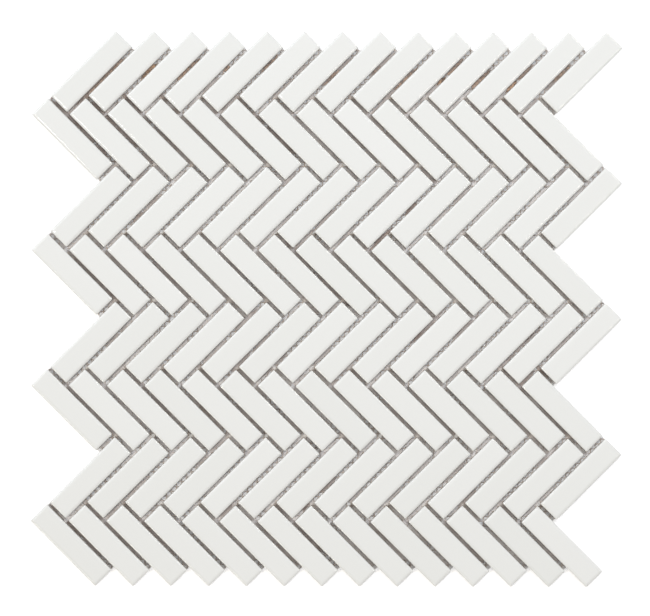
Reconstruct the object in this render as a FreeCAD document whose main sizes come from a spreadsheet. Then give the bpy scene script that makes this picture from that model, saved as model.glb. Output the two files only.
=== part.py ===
"""A sheet of herringbone wall mosaic: rows of glazed porcelain tiles bonded to a backing mesh.

The sheet lies flat with the glaze facing +Z. +X runs along the rows of tiles, and +Y points to the
row that hangs uppermost on the wall. The origin is the middle of the sheet, on its underside.

Rows come in pairs. The upper row of a pair leans up to the right and the lower row down to the
right, both at 45 degrees, and every tile is butted square against the flank of its neighbour.
All positions follow from two modules: the tile's width plus one joint, and its length plus one
joint. In the leaning sketches x runs down to the right and y up to the right.
"""
import FreeCAD, Part
import math
import os

import Sketcher
from FreeCAD import Placement, Rotation, Vector

# Driving sizes in millimetres, and the two counts of the pattern.
SIZES = {
    "tile_length": 48.0,
    "tile_width": 12.0,
    "tile_thickness": 5.0,
    "joint_width": 1.9,
    "corner_radius": 0.6,
    "face_edge_radius": 1.2,
    "back_edge_chamfer": 0.35,
    "mesh_thickness": 0.4,
    "mesh_margin": 0.5,
    "columns": 14,
    "row_pairs": 4,
}

# The rows lean at half a right angle.
LEAN = Rotation(Vector(0, 0, 1), -45)

# How near to a height an edge must lie to count as level there, in millimetres.
LEVEL_TOLERANCE = 1e-4

# Formulas that the features share, in the aliases of the spreadsheet.
WIDTH_MODULE = "(Sizes.tile_width + Sizes.joint_width)"
LENGTH_MODULE = "(Sizes.tile_length + Sizes.joint_width)"
COLUMN_PITCH = f"{WIDTH_MODULE} * sqrt(2)"
PAIR_PITCH = f"{LENGTH_MODULE} * sqrt(2)"
ROW_STEP = f"{WIDTH_MODULE} / sqrt(2)"
CENTRE_X = (
    f"((2 * Sizes.columns - 3) * {WIDTH_MODULE} + Sizes.tile_width + Sizes.tile_length)"
    " / (2 * sqrt(2))"
)
CENTRE_Y = f"-({WIDTH_MODULE} + 2 * (Sizes.row_pairs - 1) * {LENGTH_MODULE}) / (2 * sqrt(2))"


def make_sizes(doc):
    """The spreadsheet whose cells drive every feature."""
    sheet = doc.addObject("Spreadsheet::Sheet", "Sizes")
    for line, (alias, value) in enumerate(SIZES.items(), start=1):
        sheet.set(f"A{line}", alias)
        sheet.set(f"B{line}", str(value))
        sheet.setAlias(f"B{line}", alias)
    doc.recompute()
    return sheet


def origin_feature(body, role):
    """One of the body's own origin planes or axes."""
    return next(item for item in body.Origin.OriginFeatures if item.Role == role)


def new_body(doc, name, x, y, z):
    """A body placed by three formulas."""
    body = doc.addObject("PartDesign::Body", name)
    body.Label = name
    body.AllowCompound = True
    for axis, formula in zip("xyz", (x, y, z)):
        body.setExpression(f"Placement.Base.{axis}", formula)
    return body


def leaning_sketch(body, name):
    """A sketch on the body's XY plane whose x axis runs down to the right."""
    sketch = body.newObject("Sketcher::SketchObject", name)
    sketch.AttachmentSupport = [(origin_feature(body, "XY_Plane"), "")]
    sketch.MapMode = "FlatFace"
    sketch.AttachmentOffset = Placement(Vector(0, 0, 0), LEAN)
    return sketch


def dimension(sketch, formula, kind, *arguments):
    """Adds one dimension to the sketch and ties it to the spreadsheet."""
    index = sketch.addConstraint(Sketcher.Constraint(kind, *arguments))
    sketch.setExpression(f"Constraints[{index}]", formula)


def closed_outline(sketch, corners):
    """Draws lines from corner to corner, each level or upright, and joins their ends."""
    rules = []
    count = len(corners)
    for line, start in enumerate(corners):
        end = corners[(line + 1) % count]
        sketch.addGeometry(Part.LineSegment(Vector(*start, 0), Vector(*end, 0)), False)
        level = abs(end[1] - start[1]) < abs(end[0] - start[0])
        rules.append(Sketcher.Constraint("Horizontal" if level else "Vertical", line))
    for line in range(count):
        rules.append(Sketcher.Constraint("Coincident", line, 2, (line + 1) % count, 1))
    sketch.addConstraint(rules)


def tile_sketch(body, sizes, rising):
    """The footprint of one tile, with its lowest corner on the sketch's origin."""
    width, length = sizes.tile_width, sizes.tile_length
    across, along = (width, length) if rising else (length, width)
    names = ("tile_width", "tile_length") if rising else ("tile_length", "tile_width")
    sketch = leaning_sketch(body, f"{body.Name}_footprint")
    closed_outline(sketch, [(0, 0), (across, 0), (across, along), (0, along)])
    sketch.addConstraint(Sketcher.Constraint("Coincident", 0, 1, -1, 1))
    dimension(sketch, f"Sizes.{names[0]}", "DistanceX", 0, 1, 0, 2, across)
    dimension(sketch, f"Sizes.{names[1]}", "DistanceY", 1, 1, 1, 2, along)
    return sketch


def pad(body, name, profile, formula):
    """Extrudes a profile upwards."""
    feature = body.newObject("PartDesign::Pad", name)
    feature.Profile = profile
    feature.setExpression("Length", formula)
    return feature


def edge_names(shape, wanted):
    """The names of the edges that a test picks out."""
    return [f"Edge{n}" for n, edge in enumerate(shape.Edges, start=1) if wanted(edge)]


def is_upright(edge):
    """True for an edge that runs along Z."""
    box = edge.BoundBox
    return box.ZLength > max(box.XLength, box.YLength)


def lies_at(height):
    """A test for the edges that lie level at a height."""
    def wanted(edge):
        box = edge.BoundBox
        return max(abs(box.ZMin - height), abs(box.ZMax - height)) < LEVEL_TOLERANCE
    return wanted


def dress(body, kind, name, base, wanted, prop, formula):
    """A fillet or chamfer on the edges of the base that a test picks out."""
    body.Document.recompute()
    feature = body.newObject(f"PartDesign::{kind}", name)
    feature.Base = (base, edge_names(base.Shape, wanted))
    feature.setExpression(prop, formula)
    return feature


def repeat_along_row(body, name):
    """Copies the finished tile along the row."""
    body.Document.recompute()
    pattern = body.newObject("PartDesign::LinearPattern", name)
    pattern.TransformMode = "Whole shape"
    pattern.Direction = (origin_feature(body, "X_Axis"), [""])
    pattern.Mode = "Spacing"
    pattern.setExpression("Offset", COLUMN_PITCH)
    pattern.setExpression("Occurrences", "Sizes.columns")
    body.Tip = pattern


def make_tile_row(doc, sizes, row):
    """One row of tiles. Even row numbers, counted from 0, rise to the right."""
    pair, lower = divmod(row, 2)
    name = f"tile_row_{row + 1}"
    shift = ROW_STEP if lower else "0"
    x = f"-{CENTRE_X} - {shift}"
    y = f"-({CENTRE_Y}) - {pair} * {PAIR_PITCH} - {shift}"
    body = new_body(doc, name, x, y, "Sizes.mesh_thickness")
    blank = pad(body, f"{name}_blank", tile_sketch(body, sizes, not lower), "Sizes.tile_thickness")
    corners = dress(body, "Fillet", f"{name}_corners", blank, is_upright,
                    "Radius", "Sizes.corner_radius")
    face = dress(body, "Fillet", f"{name}_face_edge", corners, lies_at(sizes.tile_thickness),
                 "Radius", "Sizes.face_edge_radius")
    dress(body, "Chamfer", f"{name}_back_edge", face, lies_at(0),
          "Size", "Sizes.back_edge_chamfer")
    repeat_along_row(body, f"{name}_repeat")
    return body


def mesh_moves(sizes):
    """The mesh outline as moves (x, y, kind), clockwise from the top left tile's tip.

    kind says which length the move shares with others: "step" is one width module, "reach" one
    length module, "end" a tile's end less the margins and "flank" what a tile's side leaves of
    its length beyond the next row. The two moves of kind None close the outline.
    """
    step = sizes.tile_width + sizes.joint_width
    reach = sizes.tile_length + sizes.joint_width
    end = sizes.tile_width - 2 * sizes.mesh_margin
    flank = sizes.tile_length - sizes.tile_width
    teeth = round(sizes.columns) - 1
    zigzags = round(sizes.row_pairs) - 1
    top = [(step, 0, "step"), (0, step, "step")] * teeth + [(end, 0, "end")]
    right = [(0, -reach, "reach")] + [(reach, 0, "reach"), (0, -reach, "reach")] * zigzags
    foot = [(flank, 0, "flank"), (0, -end, "end")]
    bottom = [(-step, 0, "step"), (0, -step, "step")] * teeth
    heel = [(-(sizes.tile_length - 2 * sizes.mesh_margin), 0, None)]
    left = [(0, reach, "reach"), (-reach, 0, "reach")] * zigzags
    close = [(0, step + sizes.tile_length - 2 * sizes.mesh_margin, None)]
    return top + right + foot + bottom + heel + left + close


def make_backing_mesh(doc, sizes):
    """A plain plate for the net, trimmed just inside the tiles' outer edges."""
    body = new_body(doc, "backing_mesh", f"-{CENTRE_X}", f"-({CENTRE_Y})", "0")
    sketch = leaning_sketch(body, "backing_mesh_outline")
    x, y = sizes.mesh_margin, sizes.tile_length - sizes.mesh_margin
    corners, first_of = [], {}
    moves = mesh_moves(sizes)
    for dx, dy, _ in moves:
        corners.append((x, y))
        x, y = x + dx, y + dy
    closed_outline(sketch, corners)
    equals = []
    for line, (_, _, kind) in enumerate(moves):
        if kind and first_of.setdefault(kind, line) != line:
            equals.append(Sketcher.Constraint("Equal", first_of[kind], line))
    sketch.addConstraint(equals)
    lengths = {
        "step": WIDTH_MODULE,
        "reach": LENGTH_MODULE,
        "end": "Sizes.tile_width - 2 * Sizes.mesh_margin",
        "flank": "Sizes.tile_length - Sizes.tile_width",
    }
    for kind, line in first_of.items():
        dx, dy, _ = moves[line]
        dimension(sketch, lengths[kind], "Distance", line, math.hypot(dx, dy))
    dimension(sketch, "Sizes.mesh_margin", "DistanceX", -1, 1, 0, 1, corners[0][0])
    dimension(sketch, "Sizes.tile_length - Sizes.mesh_margin", "DistanceY", -1, 1, 0, 1, corners[0][1])
    pad(body, "backing_mesh_sheet", sketch, "Sizes.mesh_thickness")
    return body


def check(doc, bodies):
    """Stops the build if a feature failed or a piece is not a valid solid."""
    for item in doc.Objects:
        if {"Invalid", "Error"} & set(item.State):
            raise RuntimeError(f"{item.Name} failed: {item.State}")
    for body, pieces in bodies:
        shape = body.Shape
        if shape.isNull() or not shape.isValid() or len(shape.Solids) != pieces:
            raise RuntimeError(f"{body.Label} is not {pieces} valid solids")


def main():
    """Builds the sheet and writes one STEP file for each sub-part."""
    doc = FreeCAD.newDocument("herringbone_mosaic_sheet")
    sizes = make_sizes(doc)
    columns, row_pairs = round(sizes.columns), round(sizes.row_pairs)
    bodies = [(make_backing_mesh(doc, sizes), 1)]
    bodies += [(make_tile_row(doc, sizes, row), columns) for row in range(2 * row_pairs)]
    doc.recompute()
    check(doc, bodies)
    os.makedirs("parts", exist_ok=True)
    for body, _ in bodies:
        body.Shape.exportStep(os.path.join("parts", f"{body.Label}.step"))
        box = body.Shape.BoundBox
        print(body.Label, len(body.Shape.Solids), "solids", round(body.Shape.Volume, 2), "mm3",
              [round(v, 2) for v in (box.XMin, box.YMin, box.ZMin, box.XMax, box.YMax, box.ZMax)])


main()
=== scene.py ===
"""Looks of the herringbone mosaic sheet: glazed tiles on a woven glass-fibre net, from above."""

import math
import random

import bpy
import numpy as np
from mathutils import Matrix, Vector


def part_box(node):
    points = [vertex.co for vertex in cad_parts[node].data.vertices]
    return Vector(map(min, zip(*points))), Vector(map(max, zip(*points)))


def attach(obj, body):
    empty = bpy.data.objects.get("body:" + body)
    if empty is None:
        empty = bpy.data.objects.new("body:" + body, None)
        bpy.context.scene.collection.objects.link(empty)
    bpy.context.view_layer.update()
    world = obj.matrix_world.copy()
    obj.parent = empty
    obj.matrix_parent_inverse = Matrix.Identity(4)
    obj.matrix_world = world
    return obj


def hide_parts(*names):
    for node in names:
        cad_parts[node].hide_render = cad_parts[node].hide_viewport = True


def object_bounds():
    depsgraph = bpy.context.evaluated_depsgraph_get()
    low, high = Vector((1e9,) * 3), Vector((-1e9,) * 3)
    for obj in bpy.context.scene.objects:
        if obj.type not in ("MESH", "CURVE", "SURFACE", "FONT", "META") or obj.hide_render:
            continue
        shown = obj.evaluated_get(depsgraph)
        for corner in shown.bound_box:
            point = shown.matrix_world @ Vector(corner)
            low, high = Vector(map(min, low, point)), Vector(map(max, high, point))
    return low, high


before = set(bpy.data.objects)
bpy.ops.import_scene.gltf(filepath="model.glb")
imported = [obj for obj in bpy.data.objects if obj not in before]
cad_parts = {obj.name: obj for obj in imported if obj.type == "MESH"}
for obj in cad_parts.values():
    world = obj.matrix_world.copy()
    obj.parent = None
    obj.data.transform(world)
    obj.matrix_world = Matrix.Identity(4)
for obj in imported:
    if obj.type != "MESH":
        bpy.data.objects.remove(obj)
cad_low, cad_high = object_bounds()

MM = 0.001
ROOT2 = math.sqrt(2)
SEED = 14

# Sizes of the tiles and their pattern, as in the CAD model
TILE_LENGTH = 48 * MM
TILE_WIDTH = 12 * MM
JOINT = 1.9 * MM
COLUMNS = 14
ROWS = 8
ROW_LEAN = math.radians(45)
CORNER_RADIUS = 0.6 * MM
BACK_CHAMFER = 0.35 * MM
NET_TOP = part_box("backing_mesh")[1].z
TILE_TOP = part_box("tile_row_1")[1].z
TILE_THICKNESS = TILE_TOP - NET_TOP
WIDTH_MODULE = TILE_WIDTH + JOINT
LENGTH_MODULE = TILE_LENGTH + JOINT

# The pillowed edge of the pressed face, and the smallest radius that its corners keep
EDGE_WIDTH = 1.8 * MM
EDGE_DROP = 1.15 * MM
CREASE_RADIUS = 0.18 * MM

# How finely a tile is divided: round its edge and its corners, along its sides and on its face
EDGE_STEPS = 9
CORNER_STEPS = 4
LENGTH_STEPS = 12
WIDTH_STEPS = 3
FACE_INSETS = (2.6 * MM, 4.0 * MM, 5.4 * MM)

# How far the tiles stray from the pattern: standard deviation and limit
PLACE_STRAY = (0.07 * MM, 0.16 * MM)
TURN_STRAY = (math.radians(0.1), math.radians(0.25))

# The limit of a tile's shade of white, in standard deviations
TONE_LIMIT = 2.2

# The net: pitch and start of its level yarns and of its leaning ones, how far these lean per unit
# of height, how far a yarn strays from its place, and how it drifts from crossing to crossing
WEFT_PITCH, WEFT_START = 2.532 * MM, 0.84 * MM
WARP_PITCH, WARP_START = 2.474 * MM, -0.04 * MM
WARP_LEAN = 0.041
YARN_STRAY = (0.06 * MM, 0.15 * MM)
DRIFT_STRAY = (0.02 * MM, 0.05 * MM)
DRIFT_KEPT = 0.7

# Each yarn is a ribbon that passes over and under the ones it crosses, and has a frayed end
YARN_WIDTH = 0.5 * MM
YARN_THICKNESS = 0.17 * MM
WEAVE = 0.09 * MM
NET_MIDDLE = NET_TOP / 2
YARN_SIDES = 6
CROSSING_SWELL = 1.25
SWELL_STRAY = (0.1, 0.2)
FRAY = 0.35 * MM
LEAST_SPAN = 0.2 * MM

# A face of the CAD net counts as level or upright by the upward part of its normal, and points of
# two faces are the same when they agree to so many decimals of a metre
LEVEL_NORMAL, UPRIGHT_NORMAL = 0.9, 0.1
POINT_DECIMALS = 7

# Adhesive that set in the joints lies in low blots. Each has some sides, rings as shares of its
# half width and of its height, and an outline uneven by a standard deviation. It stays inside the
# net's outline by a margin, which holds a little beyond its tips too
BLOT_SIDES = 16
BLOT_RINGS = ((0.8, -1.0), (1.0, -0.3), (0.85, 0.5), (0.5, 0.95))
BLOT_HEIGHT = (0.1 * MM, 0.14 * MM)
BLOT_UNEVENNESS = 0.12
BLOT_MARGIN = TILE_WIDTH / 10
BLOT_REACH = 1.1

# Films along the tiles: how many beside a tile that leans up to the right and beside one that
# leans down, half lengths, half widths, and how far they stray from the middle of the joint
FILMS_ALONG = (2, 6)
FILM_LENGTH, FILM_WIDTH = (4.0 * MM, 10.0 * MM), (0.9 * MM, 1.4 * MM)
FILM_STRAY = (0.2 * MM, 0.4 * MM)

# Films across the tiles' ends: half lengths, and how far out they lie as a share of the width
END_LENGTH, END_REACH = (3.0 * MM, 6.0 * MM), 0.4

# Tones of the films, higher ones paler: mean and standard deviation of the joints, again for both
# kinds of row, standard deviation of the films in a joint, and how much paler the tiles' ends are.
# The paler mean in the joints beside tiles that lean up to the right is painted light, for light
# that runs along these joints down to the net, and the paler ends are painted light, where the
# open junctions let more light in
JOINT_LIGHT_MEAN, JOINT_TONE = (0.45, 0.0), (1.4, 0.85)
FILM_TONE, END_LIGHT_TONE = 0.4, 1.5

# Small pale patches of painted light at the junctions, where the open joints let more light down:
# half lengths, half widths, mean tone and share that has one
JUNCTION_LIGHT_LENGTH, JUNCTION_LIGHT_WIDTH = (1.3 * MM, 1.9 * MM), (1.0 * MM, 1.4 * MM)
JUNCTION_LIGHT_TONE, JUNCTION_LIGHT_SHARE = 1.6, 0.9

# Brown and amber streaks in the top row: the tile that each runs beside, its place along that
# tile, its half length and how amber it is
STREAKS = (
    (0, 3.0 * MM, 14.0 * MM, 0.45),
    (1, 6.9 * MM, 6.2 * MM, 1.0),
    (2, 9.1 * MM, 9.0 * MM, 0.6),
    (3, 9.3 * MM, 2.2 * MM, 0.6),
    (4, 12.5 * MM, 6.0 * MM, 0.5),
    (6, 3.5 * MM, 6.0 * MM, 0.45),
    (7, 8.5 * MM, 4.0 * MM, 0.3),
    (8, 2.2 * MM, 9.0 * MM, 0.6),
    (9, 0.4 * MM, 3.5 * MM, 1.0),
    (9, 11.0 * MM, 6.5 * MM, 0.5),
    (10, 1.7 * MM, 8.5 * MM, 0.5),
    (11, -3.3 * MM, 4.5 * MM, 0.9),
    (11, 7.1 * MM, 6.0 * MM, 0.4),
    (12, 6.1 * MM, 7.0 * MM, 0.55),
)
STREAK_WIDTH = (0.9 * MM, 1.1 * MM)
STREAK_TONE = -1.6

# The glaze, from the darkest tile to the palest, and the bare body below it
GLAZE_WHITES = ((0.8515, 0.848, 0.8155), (0.879, 0.873, 0.845))
BODY_COLOUR = (0.77, 0.72, 0.68)
GLAZE_IOR = 1.45
GLAZE_ROUGHNESS, BODY_ROUGHNESS = 0.09, 0.72

# Where the body turns into glaze, as shares of the tile's height, how ragged that line is, and the
# faint orange peel. Each noise has a scale and a detail, each bump a strength and a distance
GLAZE_LINE, RAGGEDNESS = (0.52, 0.6), 0.16
RAGGED_NOISE = (260.0, 3.0)
PEEL_NOISE, PEEL_BUMP = (420.0, 1.0), (0.25, 0.02 * MM)

# The yarn's own colour and that of the adhesive on it, the levels of noise between which one turns
# into the other, and the relief of the fibres
YARN_COLOURS = ((0.77, 0.70, 0.645), (0.485, 0.405, 0.35))
YARN_ROUGHNESS = 0.5
COATING_NOISE, COATING_LEVELS = (330.0, 3.0), (0.35, 0.68)
FIBRE_NOISE, FIBRE_BUMP = (4000.0, 2.0), (0.4, 0.03 * MM)

# The adhesive from dark to pale, the tones at which it is so, and clouds that shift its tone. Its
# paler tones also serve as painted light at the junctions, the ends and some joints
ADHESIVE_COLOURS = ((0.375, 0.3, 0.265), (0.875, 0.845, 0.825))
ADHESIVE_TONES = (-2.4, 2.0)
ADHESIVE_ROUGHNESS = 0.45
CLOUD_NOISE, CLOUD_LEVELS, CLOUD_SHIFT = (220.0, 3.0), (0.3, 0.7), (-0.8, 0.8)

# The streaks from brown to amber, and the levels of noise between which one turns into the other
STREAK_COLOURS = ((0.25, 0.175, 0.13), (0.80, 0.53, 0.35))
STREAK_NOISE, STREAK_LEVELS = (700.0, 1.0), (0.42, 0.64)

# The camera stands over the sheet, as far off as the photograph suggests. A pixel is measured on
# the tiles' faces, and the roll is in radians
IMAGE_WIDTH, IMAGE_HEIGHT = 650, 616
PIXEL = 0.5203 * MM
CAMERA_HEIGHT = 1.6
SENSOR = 36.0
CLIP_END = 50
SHEET_MIDDLE_PIXEL = (326.64, 308.94)
PHOTO_ROLL = 0.0027

# The floor: half its width, its depth around the sheet and beneath it, its look, and how much the
# camera sees it lifted towards white around the sheet
FLOOR_HALF_WIDTH = 6.0
FLOOR_DEPTH, INNER_FLOOR_DEPTH = 0.03 * MM, 0.015 * MM
FLOOR_COLOUR, FLOOR_ROUGHNESS = (0.93, 0.93, 0.93, 1), 0.9
FLOOR_GLOW = 0.42
WHITE = (1, 1, 1, 1)

# Softboxes: name, azimuth, elevation, distance, size, level of the white faces, colour, and
# whether the glaze mirrors them. The polarised one leaves no bright lines on the tiles' edges
COOL, WARM = (0.93, 1.0, 1.11), (1.06, 1.0, 0.885)
SOFTBOXES = (
    ("softbox_polarised", 45, 60, 1.2, 0.4, 0.211, COOL, False),
    ("softbox_upper_left", 135, 30, 1.2, 0.7, 0.108, COOL, True),
    ("softbox_left", 201, 60, 2.5, 0.3, 0.165, WARM, True),
    ("softbox_right", 338, 60, 1.6, 0.26, 0.052, WARM, True),
    ("softbox_low_left", 225, 15, 2.5, 0.5, 0.019, WARM, True),
    ("softbox_low_right", 45, 15, 1.5, 0.3, 0.023, WARM, True),
)

# How much light the white faces return, and how bright the room is as a light
FACE_WHITE = 0.858
ROOM_LEVEL = 0.324


def smooth_mesh(name, points, faces):
    """A mesh object made of arrays of points and faces, shaded smooth."""
    mesh = bpy.data.meshes.new(name)
    mesh.from_pydata(points, [], faces)
    mesh.polygons.foreach_set("use_smooth", [True] * len(mesh.polygons))
    piece = bpy.data.objects.new(name, mesh)
    bpy.context.scene.collection.objects.link(piece)
    mesh.update()
    return piece


def float_attribute(piece, name, values):
    """Stores one number for each point of a mesh."""
    layer = piece.data.attributes.new(name, "FLOAT", "POINT")
    layer.data.foreach_set("value", np.asarray(values, np.float32))


def stray(chance, spread):
    """A random amount with a standard deviation and a limit."""
    deviation, limit = spread
    return max(-limit, min(limit, chance.gauss(0, deviation)))


# Tiles

def tile_ring(inset, z):
    """One level ring of a tile: a rounded rectangle, drawn in by an inset."""
    radius = max(CORNER_RADIUS - inset, CREASE_RADIUS)
    half_w = TILE_WIDTH / 2 - inset
    half_l = TILE_LENGTH / 2 - inset
    # Each corner has the signs of its place, and the angle in degrees at which its arc starts
    corners = ((1, 1, 0), (-1, 1, 90), (-1, -1, 180), (1, -1, 270))

    def on_arc(corner, turn):
        """A point on a corner's arc, some degrees round from its start."""
        sx, sy, start = corner
        angle = math.radians(start + turn)
        x = sx * (half_w - radius) + radius * math.cos(angle)
        y = sy * (half_l - radius) + radius * math.sin(angle)
        return np.array((x, y, z))

    ring = []
    for number, corner in enumerate(corners):
        ring += [on_arc(corner, 90 * step / CORNER_STEPS) for step in range(CORNER_STEPS + 1)]
        following = corners[(number + 1) % len(corners)]
        here, there = ring[-1], on_arc(following, 0)
        steps = WIDTH_STEPS if corner[1] == following[1] else LENGTH_STEPS
        ring += [here + (there - here) * step / steps for step in range(1, steps)]
    return ring


def tile_levels():
    """Inset and height of each ring of a tile, from its back to the middle of its face."""
    levels = [(BACK_CHAMFER, 0.0), (0.0, BACK_CHAMFER), (0.0, TILE_THICKNESS / 2)]
    for step in range(EDGE_STEPS + 1):
        angle = math.pi / 2 * step / EDGE_STEPS
        inset = EDGE_WIDTH * (1 - math.cos(angle))
        height = TILE_THICKNESS - EDGE_DROP * (1 - math.sin(angle))
        levels.append((inset, height))
    levels += [(inset, TILE_THICKNESS) for inset in FACE_INSETS]
    return levels


def make_tile():
    """Points and faces of one tile, standing on z = 0 with its middle at the origin."""
    rings = [tile_ring(inset, z) for inset, z in tile_levels()]
    count = len(rings[0])
    points = np.array(rings).reshape(-1, 3)
    faces = [tuple(reversed(range(count)))]
    for level in range(len(rings) - 1):
        low, high = level * count, (level + 1) * count
        for n in range(count):
            after = (n + 1) % count
            faces.append((low + n, low + after, high + after, high + n))
    top = (len(rings) - 1) * count
    faces.append(tuple(range(top, top + count)))
    return points, faces


def tile_places(row):
    """Middle and turn of each tile of a row. The long side of an unturned tile runs along Y."""
    low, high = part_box(f"tile_row_{row + 1}")
    middle = (low + high) / 2
    pitch = WIDTH_MODULE * ROOT2
    lean = ROW_LEAN if row % 2 else -ROW_LEAN
    for k in range(COLUMNS):
        yield middle.x + (k - (COLUMNS - 1) / 2) * pitch, middle.y, lean


def kept_within(places, low, high):
    """Moves a tile back where its stray takes it beyond the sheet's outer limits."""
    return places + max(0.0, low - places.min()) - max(0.0, places.max() - high)


def make_tile_row(row, chance):
    """One row of tiles as a joined mesh, each a hair off its nominal place."""
    tile_points, tile_faces = make_tile()
    points, faces, tones, heights = [], [], [], []
    for x, y, bearing in tile_places(row):
        turn = bearing + stray(chance, TURN_STRAY)
        c, s = math.cos(turn), math.sin(turn)
        px = tile_points[:, 0] * c - tile_points[:, 1] * s + x + stray(chance, PLACE_STRAY)
        py = tile_points[:, 0] * s + tile_points[:, 1] * c + y + stray(chance, PLACE_STRAY)
        px = kept_within(px, cad_low.x, cad_high.x)
        py = kept_within(py, cad_low.y, cad_high.y)
        pz = tile_points[:, 2] + NET_TOP
        first = len(points) * len(tile_points)
        faces += [tuple(first + n for n in face) for face in tile_faces]
        points.append(np.stack([px, py, pz], 1))
        tones.append(np.full(len(tile_points), stray(chance, (1, TONE_LIMIT))))
        heights.append(tile_points[:, 2] / TILE_THICKNESS)
    piece = smooth_mesh(f"glazed_tiles_{row + 1}", np.concatenate(points), faces)
    float_attribute(piece, "tile_tone", np.concatenate(tones))
    float_attribute(piece, "tile_height", np.concatenate(heights))
    return piece


# Net

def net_outline():
    """The outline of the CAD net as a list of straight edges, from the upper rim of its plate."""
    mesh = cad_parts["backing_mesh"].data
    upright, level = set(), set()
    for polygon in mesh.polygons:
        if polygon.normal.z > LEVEL_NORMAL:
            keep = level
        elif abs(polygon.normal.z) < UPRIGHT_NORMAL:
            keep = upright
        else:
            continue
        for key in polygon.edge_keys:
            ends = [tuple(round(v, POINT_DECIMALS) for v in mesh.vertices[i].co) for i in key]
            if min(end[2] for end in ends) > NET_MIDDLE:
                keep.add(frozenset(ends))
    return [[end[:2] for end in sorted(edge)] for edge in upright & level]


def ordered_outline():
    """The corners of the net's outline, one after the other."""
    after = {}
    for a, b in net_outline():
        after.setdefault(a, []).append(b)
        after.setdefault(b, []).append(a)
    start = min(after)
    ring, last = [start], None
    while True:
        here = ring[-1]
        ahead = next(p for p in after[here] if p != last)
        if ahead == start:
            break
        last = here
        ring.append(ahead)
    return ring


def spans(outline, axis, at):
    """Start and end of each stretch inside the outline, on a line along an axis."""
    crossings = []
    for a, b in outline:
        if (a[1 - axis] > at) != (b[1 - axis] > at):
            share = (at - a[1 - axis]) / (b[1 - axis] - a[1 - axis])
            crossings.append(a[axis] + share * (b[axis] - a[axis]))
    crossings.sort()
    return list(zip(crossings[::2], crossings[1::2]))


def yarn_lines(low, high, pitch, start, chance):
    """Numbers and places of the parallel yarns between two limits, a little uneven."""
    numbers = range(math.ceil((low - start) / pitch), math.floor((high - start) / pitch) + 1)
    return [(n, start + n * pitch + stray(chance, YARN_STRAY)) for n in numbers]


def yarn_stops(number, start, end, crossings, chance):
    """Place, lift and swelling of a yarn at its ends, at each crossing and half way between."""
    low, high = start + LEAST_SPAN, end - LEAST_SPAN
    inside = [(m, place) for m, place in crossings if low < place < high]
    stops = [(start, 0.0, 1.0)]
    for (m, place), following in zip(inside, inside[1:] + [None]):
        stops.append((place, WEAVE if (number + m) % 2 else -WEAVE, CROSSING_SWELL))
        if following:
            halfway = (place + following[1]) / 2
            stops.append((halfway, 0.0, 1.0 + stray(chance, SWELL_STRAY)))
    stops.append((end, 0.0, 1.0))
    return stops


def tube_faces(first, rings, sides):
    """The faces between rings of points that follow each other, and over both ends."""
    last = first + (rings - 1) * sides
    faces = [
        tuple(first + k for k in range(sides)),
        tuple(last + k for k in reversed(range(sides))),
    ]
    for low in range(first, last, sides):
        for k in range(sides):
            after = (k + 1) % sides
            faces.append((low + k, low + sides + k, low + sides + after, low + after))
    return faces


def make_yarns(name, axis, lines, crossings, outline, chance):
    """One set of parallel yarns: the level ones with axis 0, the leaning ones with axis 1."""
    lean = WARP_LEAN if axis else 0.0
    straightened = [[(x - lean * y, y) for x, y in edge] for edge in outline]
    angles = np.arange(YARN_SIDES) * 2 * math.pi / YARN_SIDES
    points, faces, tones = [], [], []
    for number, at in lines:
        met = crossings if axis else [(m, place + WARP_LEAN * at) for m, place in crossings]
        for start, end in spans(straightened, axis, at):
            start += chance.random() * FRAY
            end -= chance.random() * FRAY
            if end - start < LEAST_SPAN:
                continue
            drift = 0.0
            first = len(tones)
            stops = yarn_stops(number + axis, start, end, met, chance)
            for place, lift, swell in stops:
                drift = DRIFT_KEPT * drift + stray(chance, DRIFT_STRAY)
                across = at + drift + lean * place + np.cos(angles) * YARN_WIDTH / 2 * swell
                rise = NET_MIDDLE + lift + np.sin(angles) * YARN_THICKNESS / 2
                along = np.full(YARN_SIDES, place)
                level = (across, along) if axis else (along, across)
                points.append(np.stack([*level, rise], 1))
            # Each stretch of yarn also carries a tone of its own
            tones += [chance.gauss(0, 1)] * (len(stops) * YARN_SIDES)
            faces += tube_faces(first, len(stops), YARN_SIDES)
    piece = smooth_mesh(name, np.concatenate(points), faces)
    float_attribute(piece, "yarn_tone", tones)
    return piece


def make_net(chance):
    """The net's two sets of yarns, each split in halves to keep the meshes small."""
    outline = net_outline()
    low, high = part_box("backing_mesh")
    overhang = WARP_LEAN * high.y
    weft = yarn_lines(low.y, high.y, WEFT_PITCH, WEFT_START, chance)
    warp = yarn_lines(low.x - overhang, high.x + overhang, WARP_PITCH, WARP_START, chance)
    pieces = []
    for part, lines in (("lower", weft[:len(weft) // 2]), ("upper", weft[len(weft) // 2:])):
        pieces.append(make_yarns(f"net_weft_{part}", 0, lines, warp, outline, chance))
    for part, lines in (("left", warp[:len(warp) // 2]), ("right", warp[len(warp) // 2:])):
        pieces.append(make_yarns(f"net_warp_{part}", 1, lines, weft, outline, chance))
    return pieces


# Adhesive, and patches of painted light at the junctions

def beside(place, across, along):
    """A point on the sheet, given from the middle of a tile in the tile's own directions."""
    x, y, lean = place
    c, s = math.cos(lean), math.sin(lean)
    return x + across * c - along * s, y + across * s + along * c


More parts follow.
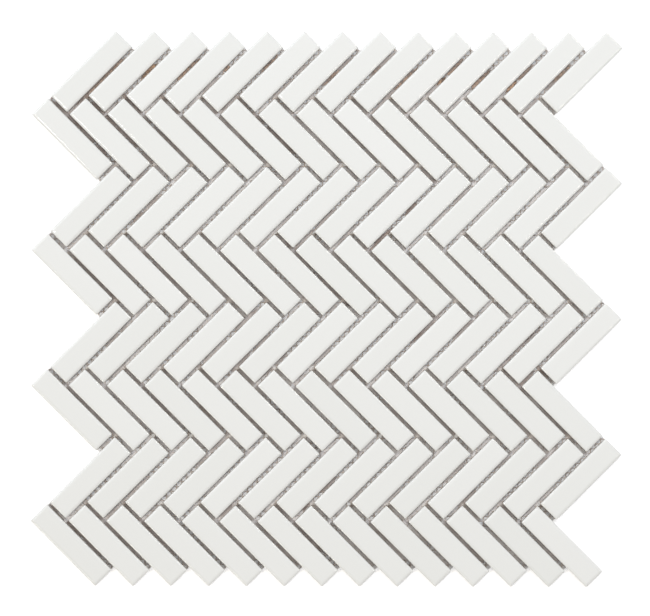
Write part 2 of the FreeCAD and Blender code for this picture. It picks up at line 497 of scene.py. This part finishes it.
def blots(chance):
    """Middle, bearing, half length, half width, tone and amber share of each blot of adhesive,
    some of them paler with painted light, and of each pale patch of painted light at a junction.
    """
    flank, end = WIDTH_MODULE / 2, LENGTH_MODULE / 2
    for row in range(ROWS):
        for place in tile_places(row):
            across_tile = place[2]
            along_tile = across_tile + math.pi / 2
            # Painted light: the joints beside tiles that lean up to the right get a paler mean
            # tone
            joint_tone_and_light = chance.gauss(JOINT_LIGHT_MEAN[row % 2], JOINT_TONE[row % 2])
            for _ in range(FILMS_ALONG[row % 2]):
                across = flank + stray(chance, FILM_STRAY)
                point = beside(place, across, chance.uniform(-end, end))
                tone = joint_tone_and_light + chance.gauss(0, FILM_TONE)
                size = (chance.uniform(*FILM_LENGTH), chance.uniform(*FILM_WIDTH))
                yield point, along_tile, *size, tone, 0.0
            for side in (-1, 1):
                across = chance.uniform(-END_REACH, END_REACH) * TILE_WIDTH
                point = beside(place, across, side * end)
                # Painted light: the films across the ends are paler, where the open junctions let
                # more light in
                tone = joint_tone_and_light + END_LIGHT_TONE + chance.gauss(0, FILM_TONE)
                size = (chance.uniform(*END_LENGTH), chance.uniform(*FILM_WIDTH))
                yield point, across_tile, *size, tone, 0.0
                # Painted light: a small pale patch where the junction lets more light down to the
                # net
                if row % 2 == 0 and chance.random() < JUNCTION_LIGHT_SHARE:
                    point = beside(place, flank, side * end)
                    size = (chance.uniform(*JUNCTION_LIGHT_LENGTH), chance.uniform(*JUNCTION_LIGHT_WIDTH))
                    tone = JUNCTION_LIGHT_TONE + chance.gauss(0, FILM_TONE)
                    yield point, along_tile, *size, tone, 0.0
    top_row = list(tile_places(0))
    for tile, along, half_long, amber in STREAKS:
        place = top_row[tile]
        size = (half_long, chance.uniform(*STREAK_WIDTH))
        yield beside(place, flank, along), place[2] + math.pi / 2, *size, STREAK_TONE, amber


def lies_inside(outline, x, y):
    """True for a point well inside the outline of the net."""
    return any(start + BLOT_MARGIN < x < end - BLOT_MARGIN for start, end in spans(outline, 0, y))


def make_adhesive_and_light(chance):
    """Low blots of adhesive that spread over the net from the tiles' backs, and set there, and
    pale patches of painted light at the junctions.
    """
    outline = net_outline()
    angles = np.arange(BLOT_SIDES) * 2 * math.pi / BLOT_SIDES
    points, faces, tones, ambers = [], [], [], []
    for (x, y), bearing, half_long, half_wide, tone, amber in blots(chance):
        c, s = math.cos(bearing), math.sin(bearing)
        height = BLOT_HEIGHT[1] if amber else chance.uniform(*BLOT_HEIGHT)
        uneven = 1 + BLOT_UNEVENNESS * np.array([chance.gauss(0, 1) for _ in angles])
        reaches = [share * half_long for share in (-BLOT_REACH, 0, BLOT_REACH)]
        if not all(lies_inside(outline, x + reach * c, y + reach * s) for reach in reaches):
            continue
        faces += tube_faces(len(tones), len(BLOT_RINGS), BLOT_SIDES)
        for width, rise in BLOT_RINGS:
            u = np.cos(angles) * (half_long - half_wide * (1 - width)) * uneven
            v = np.sin(angles) * half_wide * width * uneven
            level = (x + u * c - v * s, y + u * s + v * c)
            points.append(np.stack([*level, np.full(BLOT_SIDES, NET_MIDDLE + rise * height)], 1))
        tones += [tone] * (len(BLOT_RINGS) * BLOT_SIDES)
        ambers += [amber] * (len(BLOT_RINGS) * BLOT_SIDES)
    piece = smooth_mesh("set_adhesive_and_light", np.concatenate(points), faces)
    float_attribute(piece, "film_tone_and_light", tones)
    float_attribute(piece, "amber", ambers)
    return piece


# Materials

def new_material(name):
    """An empty node material, its tree and its main shader."""
    material = bpy.data.materials.new(name)
    material.use_nodes = True
    tree = material.node_tree
    return material, tree, tree.nodes["Principled BSDF"]


def node(tree, kind, **settings):
    """A node with its settings and the values of its unlinked inputs."""
    made = tree.nodes.new(kind)
    for key, value in settings.items():
        if key.startswith("in_"):
            made.inputs[key[3:].replace("_", " ")].default_value = value
        else:
            setattr(made, key, value)
    return made


def attribute(tree, name):
    """The number that each point of the mesh has under a name."""
    return node(tree, "ShaderNodeAttribute", attribute_name=name).outputs["Fac"]


def noise(tree, scale, detail):
    """Noise in the sheet's own coordinates."""
    place = node(tree, "ShaderNodeTexCoord")
    texture = node(tree, "ShaderNodeTexNoise", in_Scale=scale, in_Detail=detail)
    tree.links.new(place.outputs["Object"], texture.inputs["Vector"])
    return texture.outputs["Fac"]


def mapped(tree, value, source, target=(0.0, 1.0)):
    """A value brought from one range to another, and kept within it."""
    change = node(tree, "ShaderNodeMapRange", in_From_Min=source[0], in_From_Max=source[1])
    change.inputs["To Min"].default_value = target[0]
    change.inputs["To Max"].default_value = target[1]
    tree.links.new(value, change.inputs["Value"])
    return change.outputs["Result"]


def summed(tree, first, second, **settings):
    """The sum of two values."""
    total = node(tree, "ShaderNodeMath", operation="ADD", **settings)
    tree.links.new(first, total.inputs[0])
    tree.links.new(second, total.inputs[1])
    return total.outputs["Value"]


def mixed(tree, share, *colours):
    """Two colours mixed by a share. Each is a fixed colour or comes from another node."""
    mix = node(tree, "ShaderNodeMix", data_type="RGBA")
    tree.links.new(share, mix.inputs["Factor"])
    # A mix node has sockets of the same name for each type of data
    sockets = [socket for socket in mix.inputs if socket.type == "RGBA"]
    for socket, colour in zip(sockets, colours):
        if isinstance(colour, tuple):
            socket.default_value = (*colour, 1)
        else:
            tree.links.new(colour, socket)
    return next(socket for socket in mix.outputs if socket.type == "RGBA")


def add_bump(tree, shader, height, strength, distance):
    """Gives a surface fine relief."""
    bump = node(tree, "ShaderNodeBump", in_Strength=strength, in_Distance=distance)
    tree.links.new(height, bump.inputs["Height"])
    tree.links.new(bump.outputs["Normal"], shader.inputs["Normal"])


def glaze_material():
    """White gloss glaze on the face, running out on the sides over the bare porcelain body."""
    material, tree, shader = new_material("white_glaze")
    shader.inputs["IOR"].default_value = GLAZE_IOR
    # Each tile's own shade of white
    shade = mapped(tree, attribute(tree, "tile_tone"), (-TONE_LIMIT, TONE_LIMIT))
    white = mixed(tree, shade, *GLAZE_WHITES)
    # A ragged glaze line part way down the sides
    line = node(tree, "ShaderNodeMath", operation="MULTIPLY_ADD")
    line.inputs[1].default_value = RAGGEDNESS
    tree.links.new(noise(tree, *RAGGED_NOISE), line.inputs[0])
    tree.links.new(attribute(tree, "tile_height"), line.inputs[2])
    glazed = mapped(tree, line.outputs["Value"], GLAZE_LINE)
    tree.links.new(mixed(tree, glazed, BODY_COLOUR, white), shader.inputs["Base Color"])
    roughness = mapped(tree, glazed, (0.0, 1.0), (BODY_ROUGHNESS, GLAZE_ROUGHNESS))
    tree.links.new(roughness, shader.inputs["Roughness"])
    # Faint orange peel
    add_bump(tree, shader, noise(tree, *PEEL_NOISE), *PEEL_BUMP)
    return material


def yarn_material():
    """Off-white glass-fibre yarn stiffened with tan-grey adhesive."""
    material, tree, shader = new_material("coated_glass_fibre")
    shader.inputs["Roughness"].default_value = YARN_ROUGHNESS
    coating = mapped(tree, noise(tree, *COATING_NOISE), COATING_LEVELS)
    tree.links.new(mixed(tree, coating, *YARN_COLOURS), shader.inputs["Base Color"])
    add_bump(tree, shader, noise(tree, *FIBRE_NOISE), *FIBRE_BUMP)
    return material


def adhesive_and_light_material():
    """Set adhesive, each blot between pale grey and brown, and a few streaks of amber. The pale
    patches at the junctions and the paler films are painted light.
    """
    material, tree, shader = new_material("dried_adhesive_and_light")
    shader.inputs["Roughness"].default_value = ADHESIVE_ROUGHNESS
    clouds = mapped(tree, noise(tree, *CLOUD_NOISE), CLOUD_LEVELS, CLOUD_SHIFT)
    tone = summed(tree, attribute(tree, "film_tone_and_light"), clouds)
    plain = mixed(tree, mapped(tree, tone, ADHESIVE_TONES), *ADHESIVE_COLOURS)
    grain = mapped(tree, noise(tree, *STREAK_NOISE), STREAK_LEVELS)
    burnt = mixed(tree, grain, *STREAK_COLOURS)
    colour = mixed(tree, attribute(tree, "amber"), plain, burnt)
    tree.links.new(colour, shader.inputs["Base Color"])
    return material


def seen_directly(tree):
    """1 for what the camera sees, also mirrored or through glass, and 0 for light on surfaces."""
    path = node(tree, "ShaderNodeLightPath")
    seen = summed(tree, path.outputs["Is Camera Ray"], path.outputs["Is Glossy Ray"])
    return summed(tree, seen, path.outputs["Is Transmission Ray"], use_clamp=True)


def floor_material(name, glow):
    """Matt white. Where glow is more than 0, it is seen lifted to a clear white."""
    material, tree, shader = new_material(name)
    shader.inputs["Base Color"].default_value = FLOOR_COLOUR
    shader.inputs["Roughness"].default_value = FLOOR_ROUGHNESS
    shader.inputs["Emission Color"].default_value = WHITE
    lift = node(tree, "ShaderNodeMath", operation="MULTIPLY")
    lift.inputs[1].default_value = glow
    tree.links.new(seen_directly(tree), lift.inputs[0])
    tree.links.new(lift.outputs["Value"], shader.inputs["Emission Strength"])
    return material


# Stage

def make_floor():
    """A broad white plane just under the sheet, lifted to a clear white only around the sheet."""
    half = FLOOR_HALF_WIDTH
    corners = [(-half, -half), (half, -half), (half, half), (-half, half)]
    for name, outline, glow, depth in (
        ("floor", corners, FLOOR_GLOW, FLOOR_DEPTH),
        ("floor_under_sheet", ordered_outline(), 0.0, INNER_FLOOR_DEPTH),
    ):
        points = [(x, y, -depth) for x, y in outline]
        plane = smooth_mesh(name, points, [tuple(range(len(points)))])
        plane.data.materials.append(floor_material(name, glow))


def make_softbox(name, azimuth, elevation, distance, size, level, colour, mirrored):
    """A square softbox that faces the sheet. Azimuth runs from +X towards +Y.

    Its power is what brings the white faces to the wanted level by itself.
    """
    a, e = math.radians(azimuth), math.radians(elevation)
    out = Vector((math.cos(a) * math.cos(e), math.sin(a) * math.cos(e), math.sin(e)))
    data = bpy.data.lights.new(name, "AREA")
    data.shape = "SQUARE"
    data.size = size
    data.energy = level * math.pi ** 2 * distance ** 2 / (FACE_WHITE * math.sin(e))
    data.color = colour
    softbox = bpy.data.objects.new(name, data)
    softbox.location = out * distance
    softbox.rotation_mode = "QUATERNION"
    softbox.rotation_quaternion = out.to_track_quat("Z", "Y")
    softbox.visible_camera = False
    softbox.visible_glossy = mirrored
    bpy.context.scene.collection.objects.link(softbox)


def make_lights():
    """Softboxes around the camera in a pale room. None is mirrored by the level faces."""
    for softbox in SOFTBOXES:
        make_softbox(*softbox)
    world = bpy.data.worlds.new("room")
    world.use_nodes = True
    tree = world.node_tree
    background = tree.nodes["Background"]
    background.inputs["Color"].default_value = WHITE
    strength = mapped(tree, seen_directly(tree), (0.0, 1.0), (ROOM_LEVEL, 1.0))
    tree.links.new(strength, background.inputs["Strength"])
    bpy.context.scene.world = world


def make_camera():
    """A long lens straight above the sheet."""
    data = bpy.data.cameras.new("camera")
    data.sensor_width = SENSOR
    surface = CAMERA_HEIGHT - TILE_TOP
    data.lens = SENSOR * surface / (IMAGE_WIDTH * PIXEL)
    data.clip_end = CLIP_END
    camera = bpy.data.objects.new("camera", data)
    camera.location = (
        (IMAGE_WIDTH / 2 - SHEET_MIDDLE_PIXEL[0]) * PIXEL,
        (SHEET_MIDDLE_PIXEL[1] - IMAGE_HEIGHT / 2) * PIXEL,
        CAMERA_HEIGHT,
    )
    camera.rotation_euler = (0, 0, PHOTO_ROLL)
    bpy.context.scene.collection.objects.link(camera)
    bpy.context.scene.camera = camera


def main():
    """Builds the tiles, the net and its adhesive, and the stage around them."""
    chance = random.Random(SEED)
    glaze = glaze_material()
    for row in range(ROWS):
        piece = make_tile_row(row, chance)
        piece.data.materials.append(glaze)
        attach(piece, "root")
        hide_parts(f"tile_row_{row + 1}")
    yarn = yarn_material()
    for piece in make_net(chance):
        piece.data.materials.append(yarn)
        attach(piece, "root")
        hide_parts("backing_mesh")
    adhesive = make_adhesive_and_light(chance)
    adhesive.data.materials.append(adhesive_and_light_material())
    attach(adhesive, "root")
    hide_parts("backing_mesh")
    make_floor()
    make_lights()
    make_camera()
    bpy.context.scene.view_settings.view_transform = "Standard"


main()
